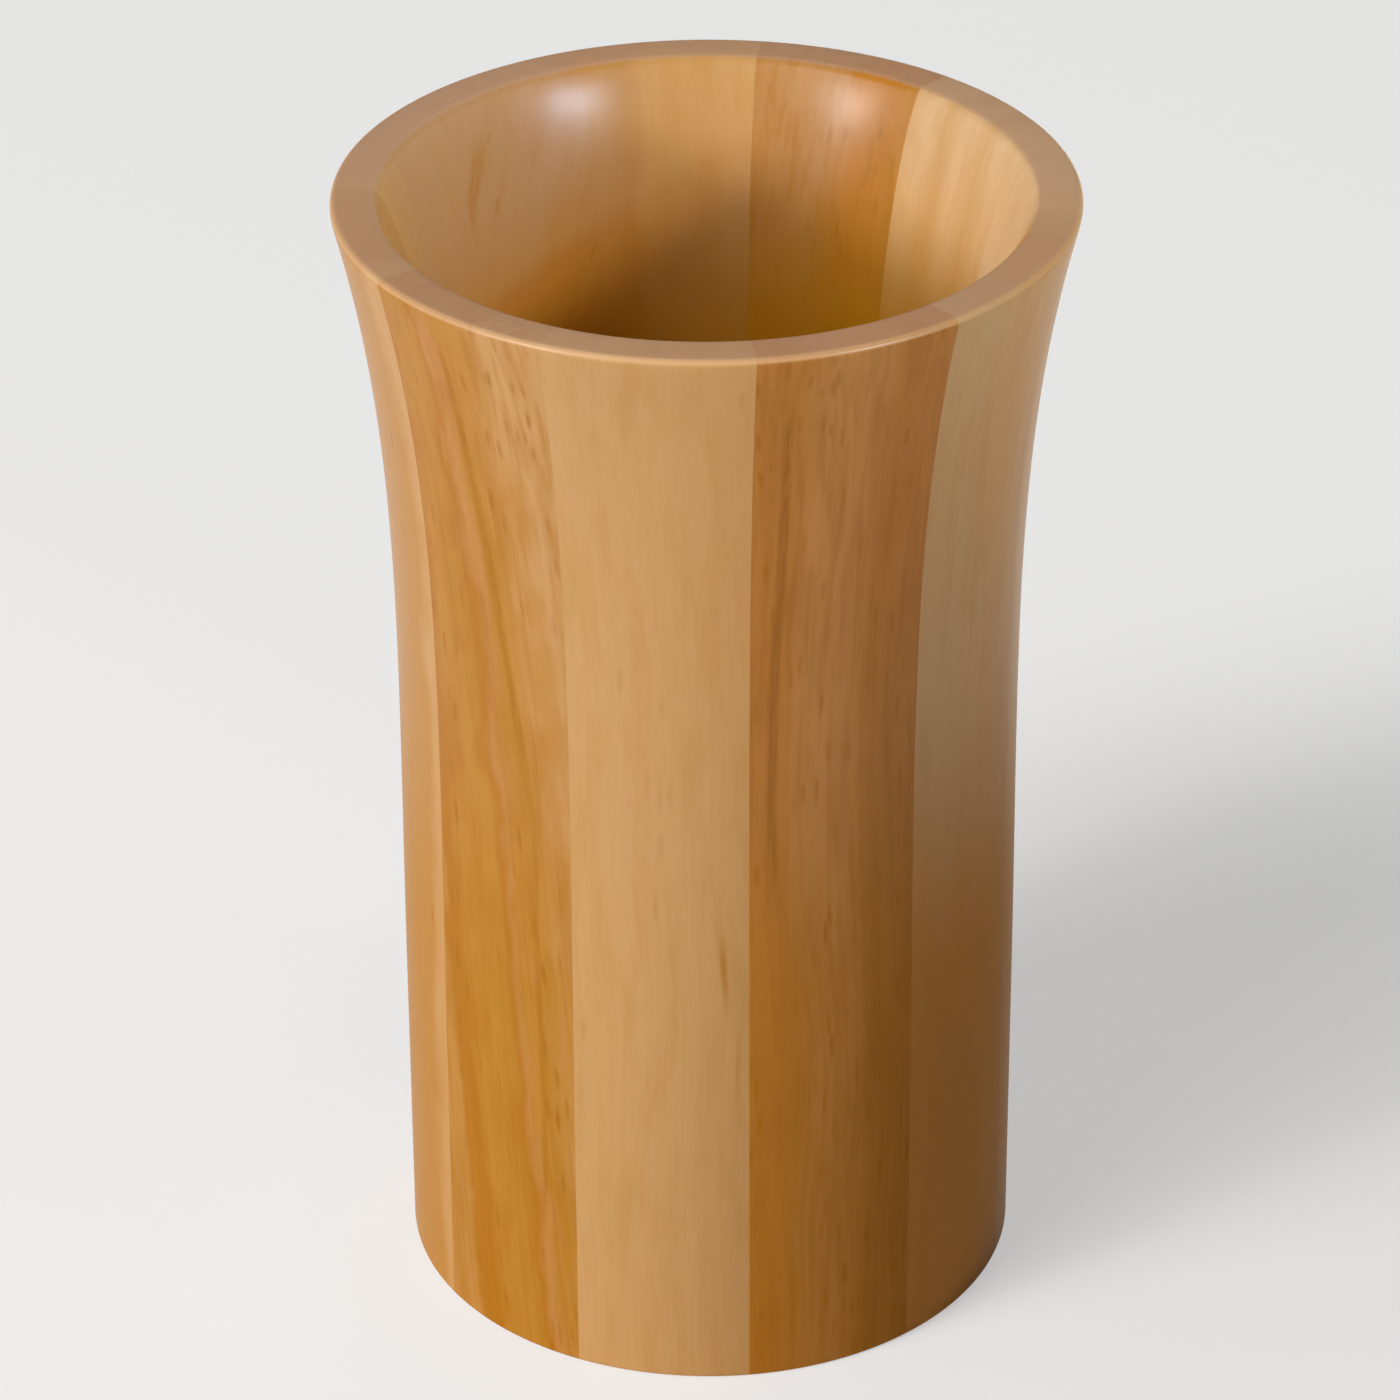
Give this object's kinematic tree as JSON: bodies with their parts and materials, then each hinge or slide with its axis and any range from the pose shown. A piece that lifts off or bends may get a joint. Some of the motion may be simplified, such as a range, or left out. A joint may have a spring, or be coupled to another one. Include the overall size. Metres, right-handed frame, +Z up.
{
  "type": "toothbrush tumbler",
  "caption": "Free-standing wooden toothbrush tumbler: a flared cup turned from edge-glued staves, closed by a floor disc let into its foot.",
  "frame": {"origin": "centre of the foot, on the surface that the tumbler stands on", "axes": "+Z up along the axis of the cup, +X through the middle of stave_01"},
  "size_m": [0.0706, 0.0706, 0.115],
  "materials": {
    "pale_wood": "pale straight-grained hardwood under a satin clear lacquer",
    "honey_wood": "honey-coloured hardwood with soft growth streaks under a satin clear lacquer",
    "amber_wood": "darker amber hardwood with short dark pore lines under a satin clear lacquer"
  },
  "bodies": {
    "root": {"stave_01": "pale_wood", "stave_02": "pale_wood", "stave_03": "amber_wood", "stave_04": "pale_wood", "stave_05": "amber_wood", "stave_06": "honey_wood", "stave_07": "pale_wood", "stave_08": "honey_wood", "stave_09": "pale_wood", "stave_10": "amber_wood", "stave_11": "pale_wood", "floor_disc": "honey_wood"}
  },
  "joints": []
}
